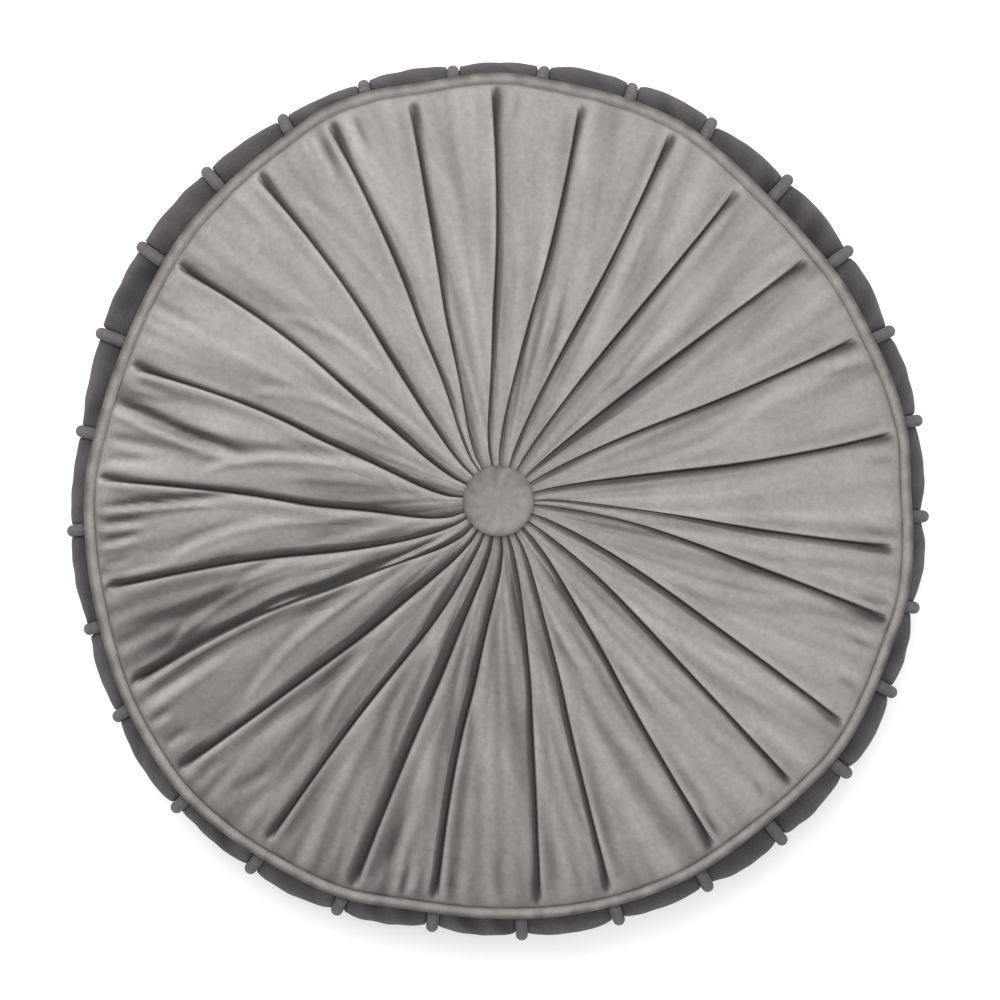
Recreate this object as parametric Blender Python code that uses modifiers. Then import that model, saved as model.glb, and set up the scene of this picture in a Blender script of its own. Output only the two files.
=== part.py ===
"""Round floor cushion: gathered panels, corded edges, ribbed side band, covered buttons.

Metres, +Z up, standing on z = 0.  Bearings run clockwise from +Y seen from above.
Every piece keeps a named clearance from its neighbours.
"""
import math

import bmesh
import bpy

# ---- overall sizes --------------------------------------------------------------
OVERALL_DIAMETER = 0.610     # across opposite side pipings
OVERALL_HEIGHT = 0.150       # floor to the crown of the top panel
CROWN = 0.020                # crown of the top panel above the top seam
BELLY = 0.014                # bottom seam above the floor
WELT_INSET = 0.0254          # overall radius to the middle of the edge cord

# ---- cloth and cords ------------------------------------------------------------
FABRIC = 0.0012              # velvet
LINER = 0.0006               # inner bag cloth
GAP = 0.0003                 # clearance between pieces that touch
LINER_EASE = 0.0006          # further room for the liner inside the side band's flat facets
CORD_RADIUS = 0.0025         # filler cord of the edge welts
FLANGE = 0.0085              # sewing margin inside the seam
# Side pipings, bearing of each in degrees; the lengths of band between them are uneven.
RIB_BEARINGS = (-6.0, 6.0, 18.0, 29.5, 42.0, 54.5, 66.5, 79.0, 92.0, 104.5, 116.0, 128.0,
                140.0, 151.5, 164.0, 177.0, 189.0, 201.5, 214.0, 226.5, 240.5, 252.5,
                266.0, 279.5, 293.0, 305.5, 318.5, 330.5, 342.0)
RIB_COUNT = len(RIB_BEARINGS)
RIB_RADIUS = 0.0045          # across the flats of its six sides
RIB_SEAT = 0.0007            # a piping's flat above the fold it lies in
BILLOW = 0.0043              # side band swell between two pipings
PLEAT_COUNT = 27             # flutes of the gathered top panel
PLEAT_DEPTH = 0.0030

# ---- buttons and tie ------------------------------------------------------------
BUTTON_DIAMETER = 0.048
BUTTON_HEIGHT = 0.0125       # middle of the cover cloth above the panel's hub
HUB_RISE = 0.002             # hub of the top panel above the top seam
HUB_HOLE = 0.006             # radius left open where the panel is gathered
BORE = 0.008                 # radius of the channel for the tie
FLOOR_CLEARANCE = 0.0015     # lowest button to the floor
SHELL = 0.0008               # pressed steel
BACK_PLATE = 0.0012
EYE_WIRE = 0.0009
EYE_HALF_WIDTH = 0.0035
EYE_DROP = 0.005
TWINE_RADIUS = 0.0012
GATHER_RADIUS = 0.009
GATHER_WIRE = 0.0006

# ---- facets ---------------------------------------------------------------------
STEPS = 2 * PLEAT_COUNT      # around the panels and welts
BAND_STEPS = 2 * RIB_COUNT   # around the side band
BUTTON_STEPS = 20
WELT_FACETS = 7
BAND_FACETS = 6

# ---- derived --------------------------------------------------------------------
HALF = FABRIC / 2
Z_TOP = OVERALL_HEIGHT - CROWN
Z_BOTTOM = BELLY
Z_MIDDLE = (Z_TOP + Z_BOTTOM) / 2
TAIL = GAP / 2 + HALF                       # welt tail above and below the seam plane
HEM = TAIL + FABRIC + GAP                   # hem of a panel or of the band
FOLD = HEM + FABRIC + 1.5 * GAP             # where the cloth leaves the seam
WELT_STEP = (2 * math.pi - 0.41) / WELT_FACETS
WELT_MIDDLE = CORD_RADIUS + GAP + HALF
WELT_CORNER = WELT_MIDDLE / math.cos(WELT_STEP / 2)
WELT_OUTER = (WELT_MIDDLE + HALF) / math.cos(WELT_STEP / 2)
WELT_RING = OVERALL_DIAMETER / 2 - WELT_INSET
SEAM = WELT_RING - WELT_OUTER - GAP - HALF
FLANGE_END = SEAM - FLANGE
RIB_RING = OVERALL_DIAMETER / 2 - RIB_RADIUS
VALLEY = RIB_RING - RIB_RADIUS - RIB_SEAT - HALF
HUB_FLAT = BUTTON_DIAMETER / 2 + 0.002
HUB_TOP = Z_TOP + HUB_RISE
HUB_BOTTOM = BUTTON_HEIGHT + HALF + FLOOR_CLEARANCE

VELVET = ("velvet", (0.335, 0.309, 0.303), 0.85, 0.0)
VELVET_SIDE = ("velvet_side", (0.205, 0.190, 0.196), 0.88, 0.0)
COTTON = ("cotton_liner", (0.80, 0.78, 0.74), 0.9, 0.0)
FIBRE = ("fibre", (0.88, 0.88, 0.87), 0.95, 0.0)
CORD = ("cotton_cord", (0.74, 0.71, 0.66), 0.9, 0.0)
STEEL = ("button_steel", (0.62, 0.62, 0.63), 0.35, 1.0)
TWINE = ("waxed_twine", (0.55, 0.50, 0.42), 0.8, 0.0)


def clear_scene():
    for old in list(bpy.data.objects):
        bpy.data.objects.remove(old, do_unlink=True)


def make_material(spec):
    name, colour, roughness, metallic = spec
    found = bpy.data.materials.get(name)
    if found:
        return found
    material = bpy.data.materials.new(name)
    material.use_nodes = True
    shader = material.node_tree.nodes["Principled BSDF"]
    shader.inputs["Base Color"].default_value = (*colour, 1.0)
    shader.inputs["Roughness"].default_value = roughness
    shader.inputs["Metallic"].default_value = metallic
    material.diffuse_color = (*colour, 1.0)
    return material


def place(obj, spec):
    obj.data.materials.append(make_material(spec))
    bpy.data.collections["floor_cushion"].objects.link(obj)
    return obj


def polyline(name, points, closed):
    mesh = bpy.data.meshes.new(name)
    edges = [(i, i + 1) for i in range(len(points) - 1)]
    if closed:
        edges.append((len(points) - 1, 0))
    mesh.from_pydata([(r, 0.0, z) for r, z in points], edges, [])
    return mesh


def turn(name, points, steps, closed=False):
    """The profile turned once round Z, as a mesh with its faces pointing one way."""
    mesh = polyline(name, points, closed)
    blank = bpy.data.objects.new(name + "_blank", mesh)
    bpy.context.scene.collection.objects.link(blank)
    screw = blank.modifiers.new("turn", "SCREW")
    screw.axis = "Z"
    screw.angle = 2 * math.pi
    screw.steps = steps
    screw.render_steps = steps
    screw.use_merge_vertices = True
    screw.merge_threshold = 0.00005
    screw.use_smooth_shade = True
    graph = bpy.context.evaluated_depsgraph_get()
    turned = bpy.data.meshes.new_from_object(blank.evaluated_get(graph))
    bpy.data.objects.remove(blank, do_unlink=True)
    shape = bmesh.new()
    shape.from_mesh(turned)
    bmesh.ops.recalc_face_normals(shape, faces=shape.faces)
    if closed and shape.calc_volume(signed=True) < 0:
        bmesh.ops.reverse_faces(shape, faces=shape.faces)
    shape.to_mesh(turned)
    shape.free()
    turned.name = name
    for face in turned.polygons:
        face.use_smooth = True
    return turned


def solid(name, points, steps, spec):
    return place(bpy.data.objects.new(name, turn(name, points, steps, True)), spec)


def cloth(name, mesh, thickness, spec):
    obj = place(bpy.data.objects.new(name, mesh), spec)
    shell = obj.modifiers.new("thickness", "SOLIDIFY")
    shell.thickness = thickness
    shell.offset = 0.0
    shell.use_even_offset = True
    shell.use_rim = True
    return obj


def tube(name, points, radius, spec, closed=False, resolution=1):
    curve = bpy.data.curves.new(name, "CURVE")
    curve.dimensions = "3D"
    curve.bevel_depth = radius
    curve.bevel_resolution = resolution
    curve.use_fill_caps = not closed
    curve.twist_mode = "MINIMUM"
    line = curve.splines.new("POLY")
    line.points.add(len(points) - 1)
    for spot, point in zip(line.points, points):
        spot.co = (*point, 1.0)
    line.use_cyclic_u = closed
    line.use_smooth = True
    return place(bpy.data.objects.new(name, curve), spec)


def offset(points, distance):
    """The open polyline moved sideways (to the left of travel) with mitred corners."""
    moved = []
    for i, (r, z) in enumerate(points):
        before = points[max(i - 1, 0)]
        after = points[min(i + 1, len(points) - 1)]
        normals = []
        for (r0, z0), (r1, z1) in ((before, (r, z)), ((r, z), after)):
            length = math.hypot(r1 - r0, z1 - z0)
            if length > 0:
                normals.append((-(z1 - z0) / length, (r1 - r0) / length))
        nr = sum(n[0] for n in normals)
        nz = sum(n[1] for n in normals)
        size = math.hypot(nr, nz)
        nr, nz = nr / size, nz / size
        reach = distance / (nr * normals[0][0] + nz * normals[0][1])
        moved.append((r + nr * reach, z + nz * reach))
    return moved


# ---- profiles -------------------------------------------------------------------
# Share of the way from hub to seam, share of the crown's height, share of the pleat.
CROWN_CURVE = ((0.08, 0.42, 0.6), (0.24, 0.80, 1.0), (0.50, 1.00, 1.0),
               (0.78, 0.93, 0.8), (0.93, 0.68, 0.45))


def top_line():
    top = OVERALL_HEIGHT - HALF - Z_TOP
    points = [(HUB_HOLE, HUB_TOP), (HUB_FLAT, HUB_TOP)]
    for share, height, _ in CROWN_CURVE:
        points.append((HUB_FLAT + share * (SEAM - HUB_FLAT), Z_TOP + height * top))
    return points


def bottom_line():
    flat_in = HUB_FLAT + 0.20 * (SEAM - HUB_FLAT)
    flat_out = HUB_FLAT + 0.84 * (SEAM - HUB_FLAT)
    turn_up = HUB_FLAT + 0.93 * (SEAM - HUB_FLAT)
    return [(HUB_HOLE, HUB_BOTTOM), (HUB_FLAT, HUB_BOTTOM), (flat_in, HALF), (flat_out, HALF),
            (turn_up, HALF + 0.30 * (Z_BOTTOM - FOLD - HALF))]


def valley_line():
    """Middle of the side band under a piping, from the top seam down to the bottom one."""
    high = Z_TOP - FOLD
    low = Z_BOTTOM + FOLD
    half_height = (high - low) / 2
    swell = VALLEY - SEAM
    radius = (half_height ** 2 + swell ** 2) / (2 * swell)
    half_angle = math.asin(half_height / radius)
    points = []
    for i in range(BAND_FACETS + 1):
        angle = half_angle * (1 - 2 * i / BAND_FACETS)
        points.append((VALLEY - radius * (1 - math.cos(angle)),
                       (high + low) / 2 + radius * math.sin(angle)))
    return points


# ---- outer cloth ----------------------------------------------------------------
def make_top_panel():
    points = top_line() + [(SEAM, Z_TOP + FOLD), (SEAM, Z_TOP + HEM), (FLANGE_END, Z_TOP + HEM)]
    mesh = turn("top_panel", points, STEPS)
    depth_at = {round(points[2 + i][0], 5): row[2] for i, row in enumerate(CROWN_CURVE)}
    for vertex in mesh.vertices:
        x, y, z = vertex.co
        share = depth_at.get(round(math.hypot(x, y), 5))
        column = round(math.atan2(y, x) / (2 * math.pi / STEPS))
        if share and column % 2:
            vertex.co.z = z - share * PLEAT_DEPTH
    cloth("top_panel", mesh, FABRIC, VELVET)


def make_bottom_panel():
    points = bottom_line() + [(SEAM, Z_BOTTOM - FOLD), (SEAM, Z_BOTTOM - HEM),
                              (FLANGE_END, Z_BOTTOM - HEM)]
    cloth("bottom_panel", turn("bottom_panel", points, STEPS), FABRIC, VELVET)


def make_side_band():
    middle = valley_line()
    points = [(FLANGE_END, Z_TOP - HEM), (SEAM, Z_TOP - HEM)] + middle
    points += [(SEAM, Z_BOTTOM + HEM), (FLANGE_END, Z_BOTTOM + HEM)]
    mesh = turn("side_band", points, BAND_STEPS)
    high = middle[0][1]
    low = middle[-1][1]
    for vertex in mesh.vertices:
        x, y, z = vertex.co
        column = round(-math.atan2(y, x) / (2 * math.pi / BAND_STEPS)) % BAND_STEPS
        this = RIB_BEARINGS[column // 2]
        after = (RIB_BEARINGS + (RIB_BEARINGS[0] + 360.0,))[column // 2 + 1]
        bearing = math.radians((this + after) / 2 if column % 2 else this)
        ring = math.hypot(x, y)
        if column % 2 and low < z < high:
            ring += BILLOW * math.sin(math.pi * (z - low) / (high - low))
        vertex.co.x = ring * math.sin(bearing)
        vertex.co.y = ring * math.cos(bearing)
    cloth("side_band", mesh, FABRIC, VELVET_SIDE)


def make_welt(name, height):
    ends = WELT_STEP * WELT_FACETS / 2
    points = [(FLANGE_END, height + TAIL)]
    for i in range(WELT_FACETS + 1):
        angle = ends - i * WELT_STEP
        points.append((WELT_RING + WELT_CORNER * math.cos(angle),
                       height + WELT_CORNER * math.sin(angle)))
    points.append((FLANGE_END, height - TAIL))
    points[1] = (points[1][0], height + TAIL)
    points[-2] = (points[-2][0], height - TAIL)
    cloth(name + "_cover", turn(name + "_cover", points, STEPS), FABRIC, VELVET)
    cord = []
    for i in range(6):
        angle = math.pi / 3 * i
        cord.append((WELT_RING + CORD_RADIUS * math.cos(angle),
                     height + CORD_RADIUS * math.sin(angle)))
    solid(name + "_cord", cord, STEPS, CORD)


def make_side_pipings():
    line = offset(valley_line(), HALF + RIB_SEAT + RIB_RADIUS)
    start = 1.13 * (WELT_OUTER + GAP)
    (r0, z0), (r1, z1) = line[0], line[1]
    share = start / math.hypot(r1 - r0, z1 - z0)
    first = (r0 + share * (r1 - r0), z0 + share * (z1 - z0))
    last = (first[0], 2 * Z_MIDDLE - first[1])
    path = [first] + line[1:-1] + [last]
    for i, bearing in enumerate(RIB_BEARINGS):
        piping = tube("side_piping_%02d" % (i + 1), [(r, 0.0, z) for r, z in path],
                      RIB_RADIUS / math.cos(math.pi / 6), VELVET_SIDE)
        piping.rotation_euler[2] = math.pi / 2 - math.radians(bearing)


# ---- filling --------------------------------------------------------------------
def inner_line(clearance):
    """Closed side of a bag inside the cover, hub to hub, the given distance in."""
    points = []
    upper = top_line()
    for i, (r, z) in enumerate(upper[1:]):
        pleat = CROWN_CURVE[i - 1][2] * PLEAT_DEPTH if i else 0.0
        spare = 0.0005 if i else 0.0
        points.append((r, z - pleat - clearance - spare))
    edge = FLANGE_END - 0.9 * clearance
    r0, z0 = upper[-1]
    slope = (z0 - Z_TOP - FOLD) / (SEAM - r0)
    points.append((edge, z0 - slope * (edge - r0) - 1.25 * clearance - 0.0005))
    points.append((edge, Z_TOP - FOLD - 2 * clearance))
    arc = offset(valley_line(), -clearance - LINER_EASE)
    points += [arc[1], arc[3], arc[5]]
    points.append((edge, Z_BOTTOM + FOLD + 2 * clearance))
    lower = bottom_line()
    r0, z0 = lower[-1]
    slope = (Z_BOTTOM - FOLD - z0) / (SEAM - r0)
    points.append((edge, z0 + slope * (edge - r0) + 1.25 * clearance + 0.0005))
    points.append((lower[3][0], lower[3][1] + clearance))
    points.append((lower[2][0] + 0.002, lower[2][1] + clearance + 0.0003))
    points.append((lower[1][0] + 0.001, lower[1][1] + clearance))
    return points


def make_liner_and_fill():
    reach = HALF + GAP + LINER / 2
    line = inner_line(reach)
    line = [(BORE, line[0][1])] + line + [(BORE, line[-1][1])]
    cloth("inner_liner", turn("inner_liner", line, STEPS // 2), LINER, COTTON)
    core = inner_line(reach + LINER / 2 + 2 * GAP)
    core = [(BORE, core[0][1])] + core + [(BORE, core[-1][1])]
    solid("fibre_fill", core, STEPS // 2, FIBRE)


# ---- buttons and tie ------------------------------------------------------------
def make_button(name, hub, up):
    scale = BUTTON_DIAMETER / 0.048
    rise = BUTTON_HEIGHT / 0.0125
    base = HALF + GAP + HALF
    edge = BUTTON_DIAMETER / 2 - HALF
    dome = (BUTTON_HEIGHT - 0.0050 * rise) / 0.0075
    cover = [(0.0165 * scale, base), (edge - 0.0010, base), (edge, base + 0.0011),
             (edge, 0.0050 * rise)]
    for r, z in ((0.0216, 0.0034), (0.0165, 0.0059), (0.0090, 0.0071), (0.0, 0.0075)):
        cover.append((r * scale, 0.0050 * rise + z * dome))
    cloth(name + "_cover",
          turn(name + "_cover", [(r, hub + up * z) for r, z in cover], BUTTON_STEPS),
          FABRIC, VELVET)
    inset = HALF + GAP + SHELL / 2
    wall = edge - inset - 0.0001
    shell = [(wall, base + HALF + GAP + 0.0006), (wall, cover[3][1] - 0.0002)]
    for r, z in cover[4:7]:
        lean = 0.9 if r > 0.015 * scale else 0.3
        shell.append((r - inset * lean * 0.85, z - inset * (0.66 if r > 0.02 * scale else 0.95)))
    shell.append((0.0, cover[7][1] - inset))
    cloth(name + "_shell",
          turn(name + "_shell", [(r, hub + up * z) for r, z in shell], BUTTON_STEPS),
          SHELL, STEEL)
    low = base + HALF + GAP
    rim = wall - SHELL / 2 - GAP
    plate = bmesh.new()
    bmesh.ops.create_cone(plate, cap_ends=True, segments=BUTTON_STEPS, radius1=rim,
                          radius2=rim, depth=BACK_PLATE)
    mesh = bpy.data.meshes.new(name + "_back")
    plate.to_mesh(mesh)
    plate.free()
    back = place(bpy.data.objects.new(name + "_back", mesh), STEEL)
    back.location[2] = hub + up * (low + BACK_PLATE / 2)
    path = [(-EYE_HALF_WIDTH, 0.0, hub + up * (low - GAP))]
    for i in range(6):
        angle = math.pi * i / 5
        path.append((-EYE_HALF_WIDTH * math.cos(angle), 0.0,
                     hub - up * (EYE_DROP + EYE_HALF_WIDTH * math.sin(angle))))
    path.append((EYE_HALF_WIDTH, 0.0, hub + up * (low - GAP)))
    tube(name + "_eye", path, EYE_WIRE, STEEL)


def make_gather_thread(name, height):
    points = []
    for i in range(20):
        angle = 2 * math.pi * i / 20
        points.append((GATHER_RADIUS * math.cos(angle), GATHER_RADIUS * math.sin(angle), height))
    tube(name, points, GATHER_WIRE, TWINE, closed=True, resolution=0)


def make_twine():
    bend = EYE_WIRE + GAP + TWINE_RADIUS
    drop = EYE_DROP + EYE_HALF_WIDTH * math.sin(math.pi * 2 / 5)
    points = []
    for centre, start in ((HUB_TOP - drop, 0.0), (HUB_BOTTOM + drop, math.pi)):
        for i in range(7):
            angle = start + math.pi * i / 6
            points.append((0.0, bend * math.cos(angle) / math.cos(math.pi / 12),
                           centre + bend * math.sin(angle) / math.cos(math.pi / 12)))
    tube("tufting_twine", points, TWINE_RADIUS, TWINE, closed=True)


clear_scene()
main = bpy.data.collections.new("floor_cushion")
bpy.context.scene.collection.children.link(main)

make_top_panel()
make_bottom_panel()
make_side_band()
make_welt("top_welt", Z_TOP)
make_welt("bottom_welt", Z_BOTTOM)
make_side_pipings()
make_liner_and_fill()
make_button("top_button", HUB_TOP, 1)
make_button("bottom_button", HUB_BOTTOM, -1)
make_gather_thread("top_gather_thread", HUB_TOP + HALF + GAP + GATHER_WIRE)
make_gather_thread("bottom_gather_thread", HUB_BOTTOM - HALF - GAP - GATHER_WIRE)
make_twine()
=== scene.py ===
"""Looks of the round velvet floor cushion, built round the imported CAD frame.

Metres, +Z up.  Bearings are in degrees, clockwise from +Y seen from above.  A share runs from
0 at the middle of a panel to 1 at its seam.
"""
import math

import bpy
import numpy as np
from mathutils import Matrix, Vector


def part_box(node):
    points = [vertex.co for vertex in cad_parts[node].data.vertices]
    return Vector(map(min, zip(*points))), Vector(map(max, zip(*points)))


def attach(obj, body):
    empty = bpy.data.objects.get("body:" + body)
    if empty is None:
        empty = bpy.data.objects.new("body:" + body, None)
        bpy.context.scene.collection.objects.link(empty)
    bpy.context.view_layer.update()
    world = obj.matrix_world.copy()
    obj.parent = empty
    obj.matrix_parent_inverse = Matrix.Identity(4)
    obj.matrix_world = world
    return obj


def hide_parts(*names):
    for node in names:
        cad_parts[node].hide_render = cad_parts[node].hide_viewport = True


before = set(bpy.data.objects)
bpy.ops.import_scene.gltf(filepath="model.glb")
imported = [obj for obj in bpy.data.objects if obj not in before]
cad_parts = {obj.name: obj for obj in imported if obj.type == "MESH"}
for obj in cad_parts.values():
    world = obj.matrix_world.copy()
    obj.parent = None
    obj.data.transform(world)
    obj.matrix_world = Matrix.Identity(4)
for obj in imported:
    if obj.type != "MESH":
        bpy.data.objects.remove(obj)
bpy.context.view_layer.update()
MM = 0.001


def box(node):
    low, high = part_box(node)
    return np.array(low), np.array(high)


def piping_bearing(number):
    low, high = box("side_piping_%02d" % number)
    return math.degrees(math.atan2(low[0] + high[0], low[1] + high[1]))


# ---- sizes taken from the CAD -----------------------------------------------------
HALF_CLOTH = 0.6 * MM
CORD_RADIUS = 2.5 * MM
PIPE_COUNT = 29
welt_low, welt_high = box("top_welt_cover")
foot_low, foot_high = box("bottom_welt_cover")
cord_low, cord_high = box("top_welt_cord")
panel_low, panel_high = box("top_panel")
cover_low, cover_high = box("top_button_cover")
under_high = box("bottom_button_cover")[1]

Z_TOP = (welt_low[2] + welt_high[2]) / 2
Z_BOTTOM = (foot_low[2] + foot_high[2]) / 2
Z_MIDDLE = (Z_TOP + Z_BOTTOM) / 2
WELT_RING = (cord_high[0] - cord_low[0]) / 2 - CORD_RADIUS
SEAM = (panel_high[0] - panel_low[0]) / 2 - HALF_CLOTH
CROWN_TOP = panel_high[2]
BUTTON_RADIUS = (cover_high[0] - cover_low[0]) / 2
# The first piping lies just before bearing 0 and keeps its negative bearing.
PIPES = [piping_bearing(n) for n in range(1, PIPE_COUNT + 1)]
PIPES[1:] = [bearing % 360 for bearing in PIPES[1:]]

# ---- sizes chosen from the photo ----------------------------------------------------
WELT_RADIUS = 3.5 * MM
WELT_TAIL = 3.6 * MM                     # sewing tail of the welt, inwards
EDGE = WELT_RING - 3.35 * MM             # edge of a panel, against the welt
PIPE_RADIUS = 4.1 * MM
PIPE_HOLLOW = 4.32 * MM                  # hollow of the band that a piping lies in
CREST = 299.6 * MM                       # side band between two pipings
VALLEY = 293.5 * MM                      # side band under a piping
BAND_MEAN = 297.0 * MM                   # turns bearings into lengths along the band
BAND_HEM = 0.9 * MM                      # band's edge outside the seam
ARC = math.radians(47.0)                 # half the arc of the band's upright section
HUB_TOP = cover_low[2] - 0.9 * MM        # where the heights of a button's outline start
HUB_BOTTOM = under_high[2] + 0.3 * MM


# ---- small tools ------------------------------------------------------------------
def smooth(a, b, x):
    t = np.clip((x - a) / (b - a), 0.0, 1.0)
    return t * t * (3 - 2 * t)


def bell(x):
    return np.exp(-x ** 2)


def through(xs, ys, x):
    """Smooth curve through a few chosen values."""
    xs = np.asarray(xs, float)
    ys = np.asarray(ys, float)
    slopes = np.gradient(ys, xs)
    x = np.clip(x, xs[0], xs[-1])
    i = np.clip(np.searchsorted(xs, x, side="right") - 1, 0, len(xs) - 2)
    h = xs[i + 1] - xs[i]
    t = (x - xs[i]) / h
    return ((1 + 2 * t) * (1 - t) ** 2 * ys[i] + t * (1 - t) ** 2 * h * slopes[i]
            + t * t * (3 - 2 * t) * ys[i + 1] + t * t * (t - 1) * h * slopes[i + 1])


def ring_curve(knots, unit=1.0):
    """Periodic curve through (bearing, value) knots, the values in the given unit."""
    b = [k[0] for k in knots]
    v = [k[1] * unit for k in knots]
    xs = np.array([b[-2] - 360, b[-1] - 360] + b + [b[0] + 360, b[1] + 360], float)
    ys = np.array([v[-2], v[-1]] + v + [v[0], v[1]], float)
    return lambda bearing: through(xs, ys, np.mod(bearing - b[0], 360.0) + b[0])


def from_bearing(bearing, centre):
    """Signed angle from a centre line, within half a turn."""
    return np.mod(bearing - centre + 180.0, 360.0) - 180.0


def ripple(seed, count, around, along):
    """Seeded band of ripples over (bearing in degrees, share), periodic in bearing."""
    rng = np.random.default_rng(seed)
    ka = rng.integers(around[0], around[1] + 1, count)
    kb = rng.uniform(along[0], along[1], count)
    phase = rng.uniform(0, 2 * math.pi, count)
    size = rng.uniform(0.5, 1.0, count)
    size /= math.sqrt(0.5 * np.sum(size ** 2))

    def value(bearing, share):
        total = np.zeros(np.broadcast(bearing, share).shape)
        turn = np.radians(bearing)
        for a, b, p, s in zip(ka, kb, phase, size):
            total += s * np.sin(a * turn + b * share + p)
        return total
    return value


def xyz(ring, bearing, z):
    turn = np.radians(bearing)
    ring, turn, z = np.broadcast_arrays(ring, turn, z)
    return np.stack([ring * np.sin(turn), ring * np.cos(turn), z], axis=-1)


def grid_piece(name, grid, capped=False, tone_and_shading=None):
    """A quad grid (rows, columns, 3), closed round its columns; its rows close up or are capped.

    The last argument gives each point its painted light and shade, with the cloth's own mottling,
    from 0 to 1.
    """
    rows, cols = grid.shape[:2]
    points = grid.reshape(-1, 3)
    index = np.arange(rows * cols).reshape(rows, cols)
    right = np.roll(index, -1, axis=1)
    quads = np.stack([index, right, np.roll(right, -1, axis=0), np.roll(index, -1, axis=0)],
                     axis=-1)
    if capped:
        quads = quads[:-1]
    quads = quads.reshape(-1, 4)
    faces = quads.tolist()
    if capped:
        for ring, pole in ((index[0][::-1], rows * cols), (index[-1], rows * cols + 1)):
            points = np.vstack([points, points[ring].mean(axis=0)])
            faces += [[int(a), int(b), pole] for a, b in zip(ring, np.roll(ring, -1))]
    mesh = bpy.data.meshes.new(name)
    mesh.from_pydata(points.tolist(), [], faces)
    p, q, r, s = (points[quads[:, k]] for k in range(4))
    if np.einsum("ij,ij->", p, np.cross(q, r) + np.cross(r, s)) < 0:
        mesh.flip_normals()
    mesh.polygons.foreach_set("use_smooth", [True] * len(mesh.polygons))
    mesh.update()
    if tone_and_shading is not None:
        values = np.full(len(points), 0.5, np.float32)
        values[:tone_and_shading.size] = tone_and_shading.reshape(-1)
        mesh.attributes.new("tone_and_shading", "FLOAT", "POINT").data.foreach_set("value", values)
    obj = bpy.data.objects.new(name, mesh)
    bpy.context.scene.collection.objects.link(obj)
    return obj


# ---- shape of this cushion ----------------------------------------------------------
# How far the top seam and the widest part of the side lie outside a true circle, in mm.
RIM_SWAY = ring_curve(((0, 7.0), (8, 4.0), (20, 3.0), (26, 2.0), (33, -2.5), (40, -6.5),
                       (48, -8.0), (57, -6.5), (66, -6.0), (74, -3.5), (81, -2.0), (88, -3.5),
                       (95, -1.0), (104, 2.0), (111, 1.0), (118, 3.0), (126, 5.0), (133, 3.0),
                       (141, 1.5), (152, 3.0), (170, 1.5), (183, -0.5), (192, 0.0), (202, 6.0),
                       (211, 7.0), (220, 9.0), (228, 10.0), (236, 7.0), (244, 4.0),
                       (252, 0.5), (262, -1.5), (274, -3.0), (280, -6.0), (286, -7.5),
                       (301, -6.0), (309, -2.5), (317, -0.5), (330, 4.0), (336, 8.0),
                       (342, 8.0), (350, 5.0), (355, 6.0)), MM)
SIDE_SWAY = ring_curve(((0, -0.7), (10, 0.5), (20, 1.0), (28, 0.5), (34, 0.5), (42, -1.0),
                        (50, -2.0), (60, -3.5), (67, -5.0), (74, -5.0), (86, -5.5),
                        (92, -6.0), (98, -4.5), (104, -3.5), (110, -0.5), (116, 2.5),
                        (122, 5.0), (134, 5.5), (147, 5.0), (154, 2.5), (162, 1.5), (172, 1.0),
                        (184, -0.5), (190, -2.0), (195, 1.0), (201, 4.0), (208, 6.0),
                        (222, 7.0), (230, 7.5), (236, 5.5), (242, 1.5), (248, -1.0),
                        (254, -4.0), (262, -4.0), (270, -5.5), (278, -7.5), (285, -5.5),
                        (291, -2.5), (297, 0.0), (304, 2.5), (312, 4.0), (322, 4.0),
                        (332, 3.0), (341, 2.5), (348, 0.7), (354, -0.3)), MM)

# Painted light and shade round a panel: how much lighter or darker it is at each bearing.
PAINTED_LIGHT_SWAY = ring_curve(((0, -0.07), (45, -0.06), (70, 0.0), (95, 0.09), (130, 0.13), (155, 0.06),
                         (180, -0.01), (205, -0.06), (230, -0.12), (262, -0.11), (290, -0.02),
                         (320, 0.0), (345, -0.03)))
# Patches of painted light and shade: bearing and share of the two ends, half
# width in degrees and how much lighter or darker.
PAINTED_LIGHT_PATCHES = (
    (250.0, 0.96, 247.5, 0.62, 3.2, -0.34), (274.6, 0.98, 276.0, 0.62, 2.0, 0.32),
    (275.4, 0.50, 277.2, 0.24, 3.0, -0.30), (258.0, 0.66, 260.0, 0.46, 2.0, 0.32),
    (284.6, 0.99, 281.0, 0.72, 1.5, -0.28), (105.0, 0.66, 110.5, 0.28, 3.2, -0.20),
    (53.6, 0.96, 52.6, 0.84, 1.8, 0.20), (47.0, 0.54, 51.0, 0.26, 3.2, -0.14),
    (222.5, 0.64, 221.0, 0.44, 2.4, -0.16), (207.5, 0.72, 207.0, 0.48, 3.0, -0.10),
    (195.6, 0.90, 195.6, 0.74, 2.0, -0.10), (189.6, 0.99, 189.4, 0.90, 1.2, 0.18),
    (231.4, 0.98, 230.6, 0.86, 1.8, 0.14), (292.6, 0.95, 292.0, 0.72, 1.6, 0.16),
    (268.0, 0.40, 264.0, 0.24, 3.0, -0.10), (334.5, 0.98, 334.0, 0.80, 2.0, -0.08),
    (303.0, 0.94, 302.0, 0.80, 1.8, 0.10), (240.5, 0.95, 240.0, 0.60, 2.0, 0.12),
)
# How strong the painted highlight is where the cloth leans to the light.
PAINTED_HIGHLIGHT = ring_curve(((0, 0.72), (60, 0.72), (110, 0.78), (150, 0.6), (180, 0.45), (208, 0.65),
                    (235, 0.98), (268, 1.12), (300, 0.95), (330, 0.76)))

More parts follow.
